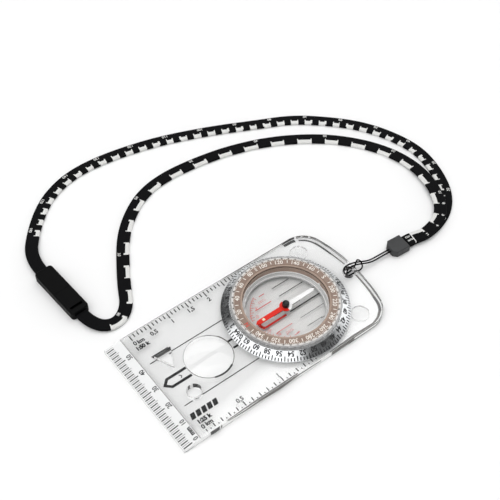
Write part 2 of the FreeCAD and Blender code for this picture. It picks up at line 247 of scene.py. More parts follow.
class Nodes(Graph):
    """The nodes of one material."""

    def __init__(self, name):
        self.material = bpy.data.materials.new(name)
        self.material.use_nodes = True
        super().__init__(self.material.node_tree)
        self.shader = self.tree.nodes["Principled BSDF"]
        self.output = self.tree.nodes["Material Output"]
        self.place = self.add("ShaderNodeTexCoord").outputs["Object"]

    def bump(self, height, distance, onto=None):
        node = self.add("ShaderNodeBump")
        node.inputs["Distance"].default_value = distance
        self.link(height, node.inputs["Height"])
        if onto:
            self.link(onto, node.inputs["Normal"])
        return node.outputs["Normal"]

    def set(self, **values):
        """Inputs of the Principled shader, with underscores for the spaces in their names."""
        for key, value in values.items():
            socket = self.shader.inputs[key.replace("_", " ")]
            if hasattr(value, "is_linked"):
                self.link(value, socket)
            elif isinstance(value, tuple):
                socket.default_value = (*value, 1)
            else:
                socket.default_value = value


def plastic(name, colour, rough, dark, grain=2600, depth=0.02, metallic=0.0, specular=0.5):
    """Moulded plastic or paint: a slight drift of colour, worn patches in the gloss and a fine grain."""
    n = Nodes(name)
    drift = n.noise(120, 3)
    low_tone = tuple(c * dark for c in colour)
    n.set(
        Base_Color=n.mix(n.span(drift, 0, 1, 0.3, 0.7), low_tone, colour),
        Roughness=n.span(n.noise(300, 4), rough * 0.8, min(1, rough * 1.25), 0.3, 0.7),
        Normal=n.bump(n.noise(grain, 2), depth * MM),
        Metallic=metallic,
    )
    n.shader.inputs["Specular IOR Level"].default_value = specular
    return n.material


def clear(name, tint, shade, rough, ior, wave=0.0, clarity=1.0):
    """Clear moulded plastic. Shadow and diffuse rays pass straight through it, tinted by shade."""
    n = Nodes(name)
    n.set(Base_Color=tint, IOR=ior)
    n.shader.inputs["Transmission Weight"].default_value = clarity
    if wave:
        n.set(Normal=n.bump(n.noise(45, 1), wave * MM))
    n.set(Roughness=n.span(n.noise(160, 3), rough, rough + 0.03, 0.45, 0.8))
    path = n.add("ShaderNodeLightPath")
    through = n.add("ShaderNodeBsdfTransparent")
    through.inputs["Color"].default_value = (*shade, 1)
    mixer = n.add("ShaderNodeMixShader")
    straight = n.math("MAXIMUM", path.outputs["Is Shadow Ray"], path.outputs["Is Diffuse Ray"])
    n.link(straight, mixer.inputs[0])
    n.link(n.shader.outputs[0], mixer.inputs[1])
    n.link(through.outputs[0], mixer.inputs[2])
    n.link(mixer.outputs[0], n.output.inputs["Surface"])
    return n.material


def metal(name, colour, rough):
    """Bare metal with faint streaks of gloss."""
    n = Nodes(name)
    streaks = n.noise(900, 3, n.stretch((1, 1, 12)))
    n.set(
        Base_Color=colour,
        Metallic=1.0,
        Roughness=n.span(streaks, rough * 0.7, rough * 1.4, 0.3, 0.7),
        Normal=n.bump(streaks, 0.004 * MM),
    )
    return n.material


def woven(name, colour, gap, sheen=0.03, specular=0.08):
    """Woven thread. The mesh's UV map is in threads: across in U and along in V."""
    n = Nodes(name)
    uv = n.add("ShaderNodeUVMap", uv_map="threads")
    parts = n.add("ShaderNodeSeparateXYZ")
    n.link(uv.outputs["UV"], parts.inputs[0])
    u, v = parts.outputs["X"], parts.outputs["Y"]
    hu = n.math("ABSOLUTE", n.math("SINE", n.math("MULTIPLY", u, math.pi)))
    hv = n.math("ABSOLUTE", n.math("SINE", n.math("MULTIPLY", v, math.pi)))
    over = n.math("MODULO", n.math("ADD", n.math("FLOOR", u), n.math("FLOOR", v)), 2.0)
    over = n.math("LESS_THAN", n.math("ABSOLUTE", over), 0.5)
    weft = n.math("MULTIPLY", over, hu)
    warp = n.math("MULTIPLY", n.math("SUBTRACT", 1.0, over), hv)
    height = n.math("POWER", n.math("ADD", weft, warp), 0.6)
    fibre = n.noise(9000, 3)
    # The gap colour darkens the weave where the threads dip: painted shade between the threads.
    tone = n.mix(height, gap, colour)
    n.set(
        Base_Color=n.mix(n.span(fibre, 0, 1, 0.35, 0.7), tuple(c * 0.8 for c in colour), tone),
        Roughness=n.span(fibre, 0.62, 0.9, 0.3, 0.7),
        Normal=n.bump(fibre, 0.02 * MM, onto=n.bump(height, 0.07 * MM)),
    )
    n.shader.inputs["Sheen Weight"].default_value = sheen
    n.shader.inputs["Sheen Roughness"].default_value = 0.5
    n.shader.inputs["Specular IOR Level"].default_value = specular
    return n.material


def ink(name, colour):
    """Screen-printed ink: slightly uneven cover and a dry gloss."""
    n = Nodes(name)
    cover = n.noise(1800, 3)
    lighter = tuple(c + (1 - c) * 0.06 for c in colour)
    n.set(
        Base_Color=n.mix(n.span(cover, 0, 1, 0.45, 0.8), colour, lighter),
        Roughness=n.span(cover, 0.4, 0.6, 0.3, 0.7),
        Normal=n.bump(cover, 0.004 * MM),
    )
    n.shader.inputs["Specular IOR Level"].default_value = 0.2
    return n.material


def haze(name, colour, opacity, rough):
    """A partly see-through skin that doesn't bend the light: soft feet, frosted paint, drawn reflections."""
    n = Nodes(name)
    n.set(Base_Color=colour, Roughness=n.span(n.noise(400, 3), rough * 0.8, rough * 1.2, 0.3, 0.7))
    n.shader.inputs["Alpha"].default_value = opacity
    return n.material


ACRYLIC = clear("acrylic_clear", (0.975, 0.976, 0.975), (0.96, 0.961, 0.96), 0.0, 1.49, 0.004)
RING_CLEAR = clear("grip_clear", (0.96, 0.96, 0.955), (0.94, 0.94, 0.94), 0.03, 1.4, 0.0, 0.72)
LENS_CLEAR = clear("cover_clear", (0.985, 0.985, 0.985), (0.96, 0.96, 0.96), 0.0, 1.08)
CUP_CLEAR = clear("cup_clear", (0.975, 0.975, 0.972), (0.94, 0.94, 0.935), 0.03, 1.2)
FOOT_CLEAR = haze("silicone_clear", (0.9, 0.9, 0.9), 0.22, 0.4)
SKIRT = plastic("silver_skirt", (0.72, 0.735, 0.745), 0.2, 0.93, 3000, 0.006, metallic=0.95)
BRONZE = plastic("bronze_ring", (0.225, 0.157, 0.122), 0.34, 0.9, 2600, 0.01, metallic=0.25)
RETAINER = plastic("retainer_grey", (0.55, 0.56, 0.57), 0.4, 0.9)
NYLON = plastic("nylon_white", (0.82, 0.82, 0.80), 0.45, 0.95)
NEEDLE_RED = plastic("needle_red", (0.72, 0.022, 0.010), 0.4, 0.93, 2600, 0.004, specular=0.2)
NEEDLE_WHITE = plastic("needle_white", (0.92, 0.92, 0.92), 0.35, 0.97, 2600, 0.004)
LUMINOUS = plastic("luminous_paint", (0.86, 0.84, 0.62), 0.6, 0.95, 2600, 0.01)
MAGNET = metal("magnet_steel", (0.30, 0.30, 0.32), 0.3)
STEEL = metal("pivot_steel", (0.66, 0.66, 0.68), 0.22)
BRASS = metal("pivot_brass", (0.42, 0.38, 0.32), 0.35)
JEWEL = clear("jewel_ruby", (0.9, 0.25, 0.3), (0.9, 0.6, 0.6), 0.0, 1.7)
HUB_BLACK = plastic("hub_black", (0.012, 0.012, 0.012), 0.4, 0.8, 2600, 0.006, specular=0.25)
BUCKLE_BLACK = plastic("buckle_black", (0.002, 0.002, 0.0022), 0.45, 0.8, 3400, 0.02, specular=0.06)
CRIMP_GREY = plastic("crimp_grey", (0.036, 0.037, 0.038), 0.5, 0.85, 3000, 0.02, specular=0.3)
INK_BLACK = ink("ink_black", (0.012, 0.012, 0.013))
INK_WHITE = ink("ink_cream", (0.80, 0.76, 0.70))
INK_RED = ink("ink_red", (0.62, 0.03, 0.02))
INK_PINK = ink("ink_pink", (0.72, 0.22, 0.20))
INK_GREY = ink("ink_grey", (0.10, 0.105, 0.105))
# Painted reflections and painted shade: these colours are drawn as fixed marks in the plate's edges and holes,
# on the magnifier's rim, at the foot of the ramp and by the triangle.
EDGE_WHITE = haze("edge_white", (0.96, 0.96, 0.955), 0.9, 0.5)
EDGE_DARK = haze("edge_dark", (0.015, 0.015, 0.015), 0.95, 0.4)
EDGE_BROWN = haze("edge_brown", (0.10, 0.092, 0.084), 0.92, 0.4)
EDGE_SILVER = haze("edge_silver", (0.55, 0.55, 0.55), 0.6, 0.3)
EDGE_SHADE = haze("edge_shade", (0.38, 0.38, 0.38), 0.6, 0.3)
EDGE_GREY = haze("edge_grey", (0.06, 0.06, 0.06), 0.95, 0.4)
FROST = haze("ramp_frost", (0.88, 0.885, 0.885), 0.7, 0.5)
# Silver of the painted highlight round the degree ring's edge.
RIM_HIGHLIGHT_SILVER = plastic("rim_highlight_silver", (0.62, 0.60, 0.58), 0.35, 0.85, 2600, 0.006, metallic=0.3)
# White and grey of the painted highlight and painted shade on the capsule's clear steps.
STEP_HIGHLIGHT = plastic("step_highlight", (0.86, 0.86, 0.86), 0.3, 0.95, 2600, 0.004)
STEP_SHADE = plastic("step_shade", (0.52, 0.52, 0.515), 0.35, 0.92, 2600, 0.004)
WALL_BROWN = plastic("wall_brown", (0.37, 0.278, 0.225), 0.5, 0.85, 2600, 0.004, specular=0.2)
TAPE_BLACK = woven("tape_black", (0.006, 0.006, 0.0068), (0.001, 0.001, 0.001), 0.01, 0.04)
TAPE_WHITE = woven("tape_white", (0.82, 0.82, 0.80), (0.35, 0.35, 0.34))
CORD_BLACK = woven("cord_black", (0.008, 0.008, 0.0085), (0.002, 0.002, 0.002), 0.01, 0.05)

LOOKS = {
    "baseplate": ACRYLIC, "foot_east": FOOT_CLEAR, "foot_west": FOOT_CLEAR,
    "friction_washer": NYLON, "retaining_ring": RETAINER, "mil_skirt": SKIRT,
    "grip_ring": RING_CLEAR, "degree_ring": BRONZE, "capsule_cup": CUP_CLEAR,
    "fill_plug": NYLON, "capsule_seal": WALL_BROWN, "capsule_lens": LENS_CLEAR,
    "pivot_seat": BRASS, "pivot_pin": STEEL, "needle_north": NEEDLE_RED,
    "needle_south": NEEDLE_WHITE, "luminous_dot": LUMINOUS, "needle_magnet": MAGNET,
    "jewel_cup": JEWEL, "hub_cap": HUB_BLACK, "crimp_bottom": CRIMP_GREY,
    "crimp_top": CRIMP_GREY, "buckle_socket": BUCKLE_BLACK, "buckle_plug": BUCKLE_BLACK,
    "thin_cord": CORD_BLACK, "tape_outer": TAPE_BLACK, "tape_inner": TAPE_BLACK,
}
for node_name, look in LOOKS.items():
    mesh = nodes[node_name].data
    mesh.materials.clear()
    mesh.materials.append(look)


def new_piece(name, verts, faces, materials, slots=None, smooth=True, uv=None):
    """A mesh object from millimetre vertices. uv is one (u, v) for each corner of each face."""
    mesh = bpy.data.meshes.new(name)
    mesh.from_pydata((np.asarray(verts, float) * MM).tolist(), [], [list(f) for f in faces])
    for m in materials:
        mesh.materials.append(m)
    if slots is not None:
        mesh.polygons.foreach_set("material_index", np.asarray(slots, np.int32))
    if uv is not None:
        layer = mesh.uv_layers.new(name="threads")
        layer.data.foreach_set("uv", np.asarray(uv, np.float32).ravel())
    mesh.polygons.foreach_set("use_smooth", [smooth] * len(mesh.polygons))
    mesh.update()
    piece = bpy.data.objects.new(name, mesh)
    bpy.context.scene.collection.objects.link(piece)
    return piece


# ---------------------------------------------------------------- the thin cord: three strands laid together
CORD_STEP = 0.16
STRAND_SIDES = 8
FIRST_UP = (0.31, 0.17, 0.94)


def twisted_cord(name, line, diameter, pitch, material):
    """A cord of three strands along a line; gives the piece and the line at even steps."""
    line, s = even_steps(line, CORD_STEP)
    t = tangents(line)
    side = np.cross(t, FIRST_UP)
    side /= np.linalg.norm(side, axis=1)[:, None]
    for k in range(1, len(side)):
        carried = side[k - 1] - t[k] * (side[k - 1] @ t[k])
        side[k] = carried / np.linalg.norm(carried)
    up = np.cross(t, side)
    strand_r = diameter * 0.27
    lay_r = diameter / 2 - strand_r
    sides = STRAND_SIDES
    verts, faces, uv = [], [], []
    for strand in range(3):
        a = 2 * np.pi * (s / pitch + strand / 3)
        centre = line + lay_r * (np.cos(a)[:, None] * side + np.sin(a)[:, None] * up)
        start = len(verts)
        for k in range(len(s)):
            for j in range(sides):
                b = 2 * np.pi * j / sides
                verts.append(centre[k] + strand_r * (math.cos(b) * side[k] + math.sin(b) * up[k]))
        for k in range(len(s) - 1):
            for j in range(sides):
                i, m = start + k * sides + j, start + k * sides + (j + 1) % sides
                faces.append((i, m, m + sides, i + sides))
                u0, u1, v0, v1 = j / 2, (j + 1) / 2, s[k] / 0.2, s[k + 1] / 0.2
                uv += [(u0, v0), (u1, v0), (u1, v1), (u0, v1)]
        for k, flip in ((0, True), (len(s) - 1, False)):
            ring = [start + k * sides + j for j in range(sides)]
            faces.append(ring[::-1] if flip else ring)
            uv += [(0, 0)] * sides
    return new_piece(name, verts, faces, [material], uv=uv), line


# ---------------------------------------------------------------- glyphs
CAP_SHARE = 0.729
glyph_store = {}


def glyphs(text, bold=0.0):
    """Vertices and faces of a solid line of text, one unit high to its capitals, centred, 1 unit thick."""
    key = (text, bold)
    if key not in glyph_store:
        curve = bpy.data.curves.new("glyphs", "FONT")
        curve.body = text
        curve.size = 1 / CAP_SHARE
        curve.extrude = 0.5
        curve.offset = bold
        curve.resolution_u = 3
        holder = bpy.data.objects.new("glyphs", curve)
        mesh = bpy.data.meshes.new_from_object(holder)
        verts = np.array([v.co for v in mesh.vertices], float)
        faces = [tuple(p.vertices) for p in mesh.polygons]
        verts[:, 0] -= (verts[:, 0].min() + verts[:, 0].max()) / 2
        verts[:, 1] -= 0.5
        verts[:, 2] += 0.5
        bpy.data.objects.remove(holder)
        bpy.data.curves.remove(curve)
        bpy.data.meshes.remove(mesh)
        glyph_store[key] = (verts, faces)
    return glyph_store[key]


class Print:
    """Bars and text printed on one surface. skin(x, y) gives a point of the surface and its normal, in mm."""

    def __init__(self, skin, film=0.03):
        self.skin, self.film = skin, film
        self.verts, self.faces, self.slots = [], [], []

    def put(self, plan, height):
        """The point at that share of the film's height over a plan point."""
        point, normal = self.skin(*plan)
        return np.asarray(point) + np.asarray(normal) * (height * self.film)

    def solid(self, outline, slot=0):
        """A thin solid over a convex outline, given anticlockwise as plan points."""
        start, count = len(self.verts), len(outline)
        self.verts += [self.put(p, 0) for p in outline] + [self.put(p, 1) for p in outline]
        lower = list(range(start, start + count))
        upper = [i + count for i in lower]
        self.faces += [tuple(lower[::-1]), tuple(upper)]
        for k in range(count):
            m = (k + 1) % count
            self.faces.append((lower[k], lower[m], upper[m], upper[k]))
        self.slots += [slot] * (count + 2)

    def bar(self, x0, y0, x1, y1, width, slot=0):
        """A straight bar between two plan points."""
        d = np.array([x1 - x0, y1 - y0], float)
        n = np.array([-d[1], d[0]]) / np.linalg.norm(d) * width / 2
        a, b = np.array([x0, y0]), np.array([x1, y1])
        self.solid([a - n, b - n, b + n, a + n], slot)

    def path(self, points, width, slot=0):
        """Bars joined with mitred corners along plan points."""
        p = np.array(points, float)
        last = len(p) - 1
        left, right = [], []
        for k in range(last + 1):
            d0 = p[k] - p[k - 1] if k else p[1] - p[0]
            d1 = p[k + 1] - p[k] if k < last else d0
            d0, d1 = d0 / np.linalg.norm(d0), d1 / np.linalg.norm(d1)
            n0, n1 = np.array([-d0[1], d0[0]]), np.array([-d1[1], d1[0]])
            m = (n0 + n1) / (1 + n0 @ n1)
            left.append(p[k] + m * width / 2)
            right.append(p[k] - m * width / 2)
        for k in range(last):
            self.solid([right[k], right[k + 1], left[k + 1], left[k]], slot)

    def ring(self, centre, r0, r1, a0, a1, slot=0, step=2.0):
        """Part of a ring between two radii, from angle a0 to a1, clockwise from +Y, in degrees."""
        count = max(1, int(round(abs(a1 - a0) / step)))
        edges = [math.radians(a0 + (a1 - a0) * k / count) for k in range(count + 1)]
        for a, b in zip(edges, edges[1:]):
            corners = [(r0, a), (r0, b), (r1, b), (r1, a)]
            plan = [(centre[0] + r * math.sin(t), centre[1] + r * math.cos(t)) for r, t in corners]
            self.solid(plan[::-1] if a1 > a0 else plan, slot)

    def text(self, text, height, at, up=90.0, slot=0, bold=0.0, narrow=1.0):
        """Straight text centred at a plan point, with its top towards that heading."""
        verts, faces = glyphs(text, bold)
        u, r = heading(up), heading(up - 90)
        plan = [
            (
                at[0] + (r.x * v[0] * narrow + u.x * v[1]) * height,
                at[1] + (r.y * v[0] * narrow + u.y * v[1]) * height,
            )
            for v in verts
        ]
        self.lay(plan, verts[:, 2], faces, slot)

    def arc_text(self, text, height, centre, radius, angle, slope=1.0, slot=0, bold=0.0, narrow=1.0):
        """Text bent round a dial, its top outward, at that angle clockwise from +Y."""
        verts, faces = glyphs(text, bold)
        plan = []
        for v in verts:
            r = radius + v[1] * height * slope
            t = math.radians(angle) + v[0] * height * narrow / radius
            plan.append((centre[0] + r * math.sin(t), centre[1] + r * math.cos(t)))
        self.lay(plan, verts[:, 2], faces, slot)

    def lay(self, plan, heights, faces, slot):
        """Adds a flat mesh, its heights in shares of the film."""
        start = len(self.verts)
        self.verts += [self.put(p, h) for p, h in zip(plan, heights)]
        self.faces += [tuple(start + i for i in f) for f in faces]
        self.slots += [slot] * len(faces)

    def make(self, name, materials, body):
        piece = new_piece(name, self.verts, self.faces, materials, self.slots, smooth=False)
        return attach(piece, body)


# ---------------------------------------------------------------- the tapes
TAPE_STEP = 0.5
TAPE_EDGE_R = 0.62
TAPE_COLUMNS = [-2.55, -2.1, -1.65, -1.2, -0.75, -0.3, 0.05, 0.4, 0.8, 1.15, 1.6, 2.05, 2.55]
# Places across the tape, from its middle towards its left edge: white blocks and their end ticks lie beyond
# theirs, and the lines across stop at theirs
BLOCK_REACH = 1.2
TICK_REACH = 0.5
ACROSS_REACH = 2.4
NUMERAL_HEIGHT = 1.5
NUMERAL_PLACE = -1.7


def tape(name, line, blocks, ticks, numerals, lines_across=()):
    """A woven tape along a line; gives the piece and the line at even steps.

    blocks, ticks and lines_across are (start, end) distances along it, numerals (distance, text, place across).
    """
    line, s = even_steps(line, TAPE_STEP)
    t = tangents(line)
    left = np.cross((0, 0, 1), t)
    left /= np.linalg.norm(left, axis=1)[:, None]
    up = np.cross(t, left)
    w, h, edge, top = TAPE_W / 2, TAPE_T / 2, TAPE_EDGE_R, TAPE_COLUMNS
    profile = [(x, h - 0.03 * (x / w) ** 2 - 0.04 * (i % 2)) for i, x in enumerate(top)]
    curl = [math.radians(a) for a in (60, 30, 0, -30, -60)]
    profile += [(w - edge + edge * math.cos(a), h * math.sin(a)) for a in curl]
    profile += [(x, -(h - 0.03 * (x / w) ** 2)) for x in top[::-1]]
    profile += [(-(w - edge + edge * math.cos(a)), -h * math.sin(a)) for a in curl]
    cols = len(profile)
    verts, faces, slots, uv = [], [], [], []
    girth = [0.0]
    for a, b in zip(profile, profile[1:] + profile[:1]):
        girth.append(girth[-1] + math.dist(a, b))
    for k in range(len(s)):
        for j, (x, z) in enumerate(profile):
            relief = 0.022 * (1 if (j + k) % 2 else -1)
            verts.append(line[k] + left[k] * x + up[k] * (z + math.copysign(relief, z)))

    def is_white(distance, j):
        def on(stretches):
            return any(a <= distance < b for a, b in stretches)

        middle = (profile[j][0] + profile[(j + 1) % cols][0]) / 2
        if middle < ACROSS_REACH and on(lines_across):
            return True
        if middle > BLOCK_REACH and j < len(top) + len(curl) and on(blocks):
            return True
        return middle > TICK_REACH and j < len(top) and on(ticks)

    for k in range(len(s) - 1):
        middle = (s[k] + s[k + 1]) / 2
        for j in range(cols):
            m = (j + 1) % cols
            faces.append((k * cols + j, (k + 1) * cols + j, (k + 1) * cols + m, k * cols + m))
            slots.append(1 if is_white(middle, j) else 0)
            u0, u1, v0, v1 = girth[j] / 0.45, girth[j + 1] / 0.45, s[k] / 0.5, s[k + 1] / 0.5
            uv += [(u0, v0), (u0, v1), (u1, v1), (u1, v0)]
    for k, flip in ((0, False), (len(s) - 1, True)):
        ring = [k * cols + j for j in range(cols)]
        faces.append(ring[::-1] if flip else ring)
        slots.append(0)
        uv += [(0, 0)] * cols
    for distance, text, middle in numerals:
        glyph_verts, glyph_faces = glyphs(text, 0.01)
        start = len(verts)
        for x, y, z in glyph_verts:
            d = distance + x * NUMERAL_HEIGHT
            place = np.array([np.interp(d, s, line[:, k]) for k in range(3)])
            sideways = np.array([np.interp(d, s, left[:, k]) for k in range(3)])
            reach = middle - y * NUMERAL_HEIGHT
            verts.append(place + sideways * reach + np.array([0, 0, h - 0.06 + 0.09 * z]))
        for f in glyph_faces:
            faces.append(tuple(start + i for i in f))
            slots.append(1)
            uv += [(0.5, 0.5)] * len(f)
    return new_piece(name, verts, faces, [TAPE_BLACK, TAPE_WHITE], slots, uv=uv), line


def edge_marks(start, pitch, count):
    """The blocks of a tape's edge scale, each half a pitch long, and the ticks at their ends."""
    blocks = [(start + pitch * k, start + pitch * (k + 0.5)) for k in range(count)]
    return blocks, [(a - 0.1, a + 0.5) for a, b in blocks] + [(b - 0.5, b + 0.1) for a, b in blocks]


CORD_LAY = 2.4
hitch_line = spline_line("hitch_route", HITCH)
cord_piece, cord_path = twisted_cord("hitch_cord", hitch_line, CORD_D, CORD_LAY, CORD_BLACK)
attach(cord_piece, "root")
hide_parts("thin_cord")

OUTER_START = 7.7
OUTER_PITCH = 7.417
outer_line = spline_line("outer_route", OUTER)
outer_blocks, outer_ticks = edge_marks(OUTER_START, OUTER_PITCH, 41)
outer_numerals = [(OUTER_START + 2.5 * OUTER_PITCH * k, str(10 * k), NUMERAL_PLACE) for k in range(1, 17)]
outer_piece, outer_path = tape("lanyard_outer", outer_line, outer_blocks, outer_ticks, outer_numerals)
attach(outer_piece, "root")
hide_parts("tape_outer")

INNER_START = 4.6
INNER_PITCH = 14.26
inner_line = spline_line("inner_route", INNER)
inner_blocks, inner_ticks = edge_marks(INNER_START, INNER_PITCH, 21)
inner_numerals = [(INNER_START + 2.5 * INNER_PITCH * k, str(10 * k), NUMERAL_PLACE) for k in range(1, 9)]
inner_numerals += [(INNER_START + 0.5 * INNER_PITCH * k, str(2 * k), NUMERAL_PLACE) for k in range(1, 5)]
inner_numerals += [(3.0, "mm", -1.2), (2.6, "cm", 0.9)]
inner_piece, inner_path = tape(
    "lanyard_inner", inner_line, inner_blocks, inner_ticks, inner_numerals, lines_across=[(4.4, 5.1)]
)
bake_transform(inner_piece)
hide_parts("tape_inner")


# ---------------------------------------------------------------- prints on the plate
UNDER_Z = 0.04
GROUND_HALF = 30.4
GROUND_PARTS = 12


def plate_top(x, y):
    """The plate's flat top, and the ramp down to the ruler's edge."""
    if y <= RAMP_Y:
        return (x, y, PLATE_T), (0, 0, 1)
    fall = (PLATE_T - FRONT_T) / (FRONT_Y - RAMP_Y)
    n = np.array([0, fall, 1]) / math.hypot(1, fall)
    return (x, y, PLATE_T - fall * (y - RAMP_Y)), n


def plate_under(x, y):
    """The plate's underside, seen through it."""
    return (x, y, UNDER_Z), (0, 0, 1)


def ruler_face(x, y):
    """Just over the white ground of the ruler."""
    point, normal = plate_top(x, y)
    return np.asarray(point) + 0.02 * np.asarray(normal), normal


frost = Print(plate_top, 0.018)
for k in range(GROUND_PARTS):
    x0, x1 = (-GROUND_HALF + 2 * GROUND_HALF * i / GROUND_PARTS for i in (k, k + 1))
    frost.solid([(x0, RAMP_Y + 0.6), (x1, RAMP_Y + 0.6), (x1, FRONT_Y - 0.05), (x0, FRONT_Y - 0.05)])
frost.make("ruler_ground", [FROST], "root")

ruler = Print(ruler_face)
for k in range(60):
    x = RULER_ZERO_X + k
    ruler.bar(x, 58.2, x, 53.9 if k % 5 == 0 else 54.7, 0.5 if k % 2 == 0 else 0.16)
for k in range(6):
    x = RULER_ZERO_X + 10 * k + (0.6 if k == 0 else 0)
    ruler.text(str(10 * k), 2.2, (x, 51.9), 90, bold=0.03, narrow=0.9)
ruler.text("mm", 2.0, (-25.0, 51.8), 90, bold=0.07)
ruler.make("print_millimetres", [INK_BLACK], "root")

scale_50 = Print(plate_top)
for k in range(31):
    y = MAP_ZERO_Y - 2 * k
    scale_50.bar(29.8, y, 26.6 if k % 5 == 0 else 27.7, y, 0.52)
for text, height, at, bold in (
    ("0", 2.2, (24.9, 46.0), 0.04), ("0,5", 2.2, (24.7, 36.2), 0.04), ("1", 2.2, (24.8, 26.1), 0.04),
    ("1,5", 2.2, (25.0, 15.9), 0.04), ("2", 2.2, (24.8, 6.2), 0.04), ("km", 2.0, (24.7, 43.1), 0.06),
    ("1:50 k", 1.9, (21.8, 43.7), 0.09),
):
    scale_50.text(text, height, at, 0, bold=bold)
scale_50.make("print_scale_50", [INK_BLACK], "root")

scale_25 = Print(plate_top)
for k in range(15):
    y = MAP_ZERO_Y - 4 * k
    scale_25.bar(-29.4, y, -28.2 if k == 0 else -26.8 if k % 5 == 0 else -27.5, y, 0.48)
    scale_25.bar(-29.4, y - 2, -28.8, y - 2, 0.48)
for text, height, at, bold in (
    ("0", 2.1, (-26.4, 46.3), 0.05), ("km", 2.0, (-26.2, 43.1), 0.06), ("1:25 k", 1.9, (-23.6, 43.4), 0.09),
    ("0,5", 2.1, (-25.3, 26.6), 0.03), ("1", 2.1, (-25.6, 6.4), 0.03),
):
    scale_25.text(text, height, at, 0, bold=bold)
scale_25.make("print_scale_25", [INK_BLACK], "root")

under = Print(plate_under)
under.bar(-13, 46.2, -13, 42.0, 0.42)
under.bar(-13, 37.0, -13, 4.0, 0.42)
under.bar(13, 46.2, 13, 42.6, 0.42)
under.bar(13, 36.2, 13, 4.0, 0.42)
under.path([(2.25, 34.9), (2.25, 44.9), (0, 47.2), (-2.25, 44.9), (-2.25, 34.9)], 1.3)
under.path([(-0.9, 39.4), (0.0, 38.6), (0.9, 39.5)], 0.35)
for x in (-2.05, 2.05):
    under.bar(x, 8.0, x, 12.5, 1.0)
for k in range(5):
    y = 33.3 + 2.85 * k
    under.solid([(-20.6, y + 0.8), (-17.6, y), (-17.6, y + 2.15), (-20.6, y + 2.95)])
under.make("print_travel_arrow", [INK_BLACK], "root")


# Painted reflections and painted shade, drawn as fixed marks: the magnifier's rim, the foot of the ramp and the
# side of the triangle
rim_and_ramp_reflections = Print(plate_top)
for a0, a1, width, slot in (
    (239, 292, 0.85, 0), (146, 182, 0.5, 1), (292, 360, 0.28, 1), (0, 146, 0.3, 2), (182, 239, 0.3, 1),
):
    rim_and_ramp_reflections.ring(LENS, LENS_R - width / 2, LENS_R + width / 2, a0, a1, slot)
rim_and_ramp_reflections.bar(-30.3, RAMP_Y + 0.3, 30.3, RAMP_Y + 0.3, 0.45, 3)
rim_and_ramp_reflections.make("rim_and_ramp_reflections", [EDGE_DARK, EDGE_BROWN, EDGE_SILVER, EDGE_SHADE], "root")
triangle_shade = Print(plate_under)
triangle_shade.solid([(14.4, 34.7), (15.8, 35.2), (15.8, 43.8), (14.4, 43.3)])
triangle_shade.make("triangle_shade", [EDGE_DARK], "root")

# ---------------------------------------------------------------- prints on the dial
SLANT = math.atan2(SKIRT_TOP[1] - SKIRT_LIP[1], SKIRT_LIP[0] - SKIRT_TOP[0])


def tick_half(width, radius):
    """Half the angle, in degrees, of a tick of that width at that radius."""
    return math.degrees(width / radius) / 2


def skirt_face(x, y):
    """The skirt's cone."""
    r = math.hypot(x, y - DIAL_Y)
    z = SKIRT_TOP[1] - (r - SKIRT_TOP[0]) * math.tan(SLANT)
    e = np.array([x, y - DIAL_Y, 0]) / r
    return (x, y, z), e * math.sin(SLANT) + np.array([0, 0, math.cos(SLANT)])


# ring() cuts an arc into parts of step degrees, so a tick stays in one part
ONE_PART = 9
mils = Print(skirt_face)
half = tick_half(0.5, 28.5)
for k in range(128):
    a = 360 / 128 * k
    mils.ring(DIAL, 27.3 if k % 4 == 2 else 27.95, 29.1, a - half, a + half, step=ONE_PART)
for k in range(32):
    label = "0/64" if k == 0 else str(2 * k)
    mils.arc_text(label, 2.3, DIAL, 26.55, 11.25 * k, math.cos(SLANT), bold=0.05, narrow=0.92)
mils.make("print_mils", [INK_BLACK], "dial")


def ring_face(x, y):
    """The top of the degree ring."""
    return (x, y, DEGREE_TOP_Z), (0, 0, 1)


degrees = Print(ring_face)
half = tick_half(0.26, 23.9)
for k in range(180):
    degrees.ring(DIAL, 22.75 if k % 5 == 0 else 23.0, 23.4, 2 * k - half, 2 * k + half, step=ONE_PART)
half = tick_half(0.34, 22.5)
for a in range(10, 360, 20):
    if a not in (90, 270):
        degrees.ring(DIAL, 21.3, 23.4, a - half, a + half, step=ONE_PART)
for a in range(0, 360, 20):
    label = {0: "N", 180: "S"}.get(a, str(a))
    degrees.arc_text(label, 2.0, DIAL, 21.8, a, slot=1 if a == 0 else 0, bold=0.01)
for letter, angle in (("E", 90), ("W", 270)):
    degrees.arc_text(letter, 1.7, DIAL, 21.8, angle)
degrees.make("print_degrees", [INK_WHITE, INK_RED], "dial")
# A silver ring round the degree ring's edge is a painted highlight for the clear grip ring's rim; the 48 brown
# dots across it are painted shade of the grip ring's scallops.
seat = Print(ring_face, 0.02)
seat.ring(DIAL, 23.5, 24.28, 0, 360, step=3)
for k in range(48):
    a = 7.5 * k + 3.75
    seat.ring(DIAL, 23.45, 24.1, a - 0.9, a + 0.9, 1, step=ONE_PART)
seat.make("grip_rim_highlight_and_shade", [RIM_HIGHLIGHT_SILVER, BRONZE], "dial")


def cup_floor(x, y):
    """The floor of the capsule."""
    return (x, y, CUP_FLOOR_Z + 0.05), (0, 0, 1)


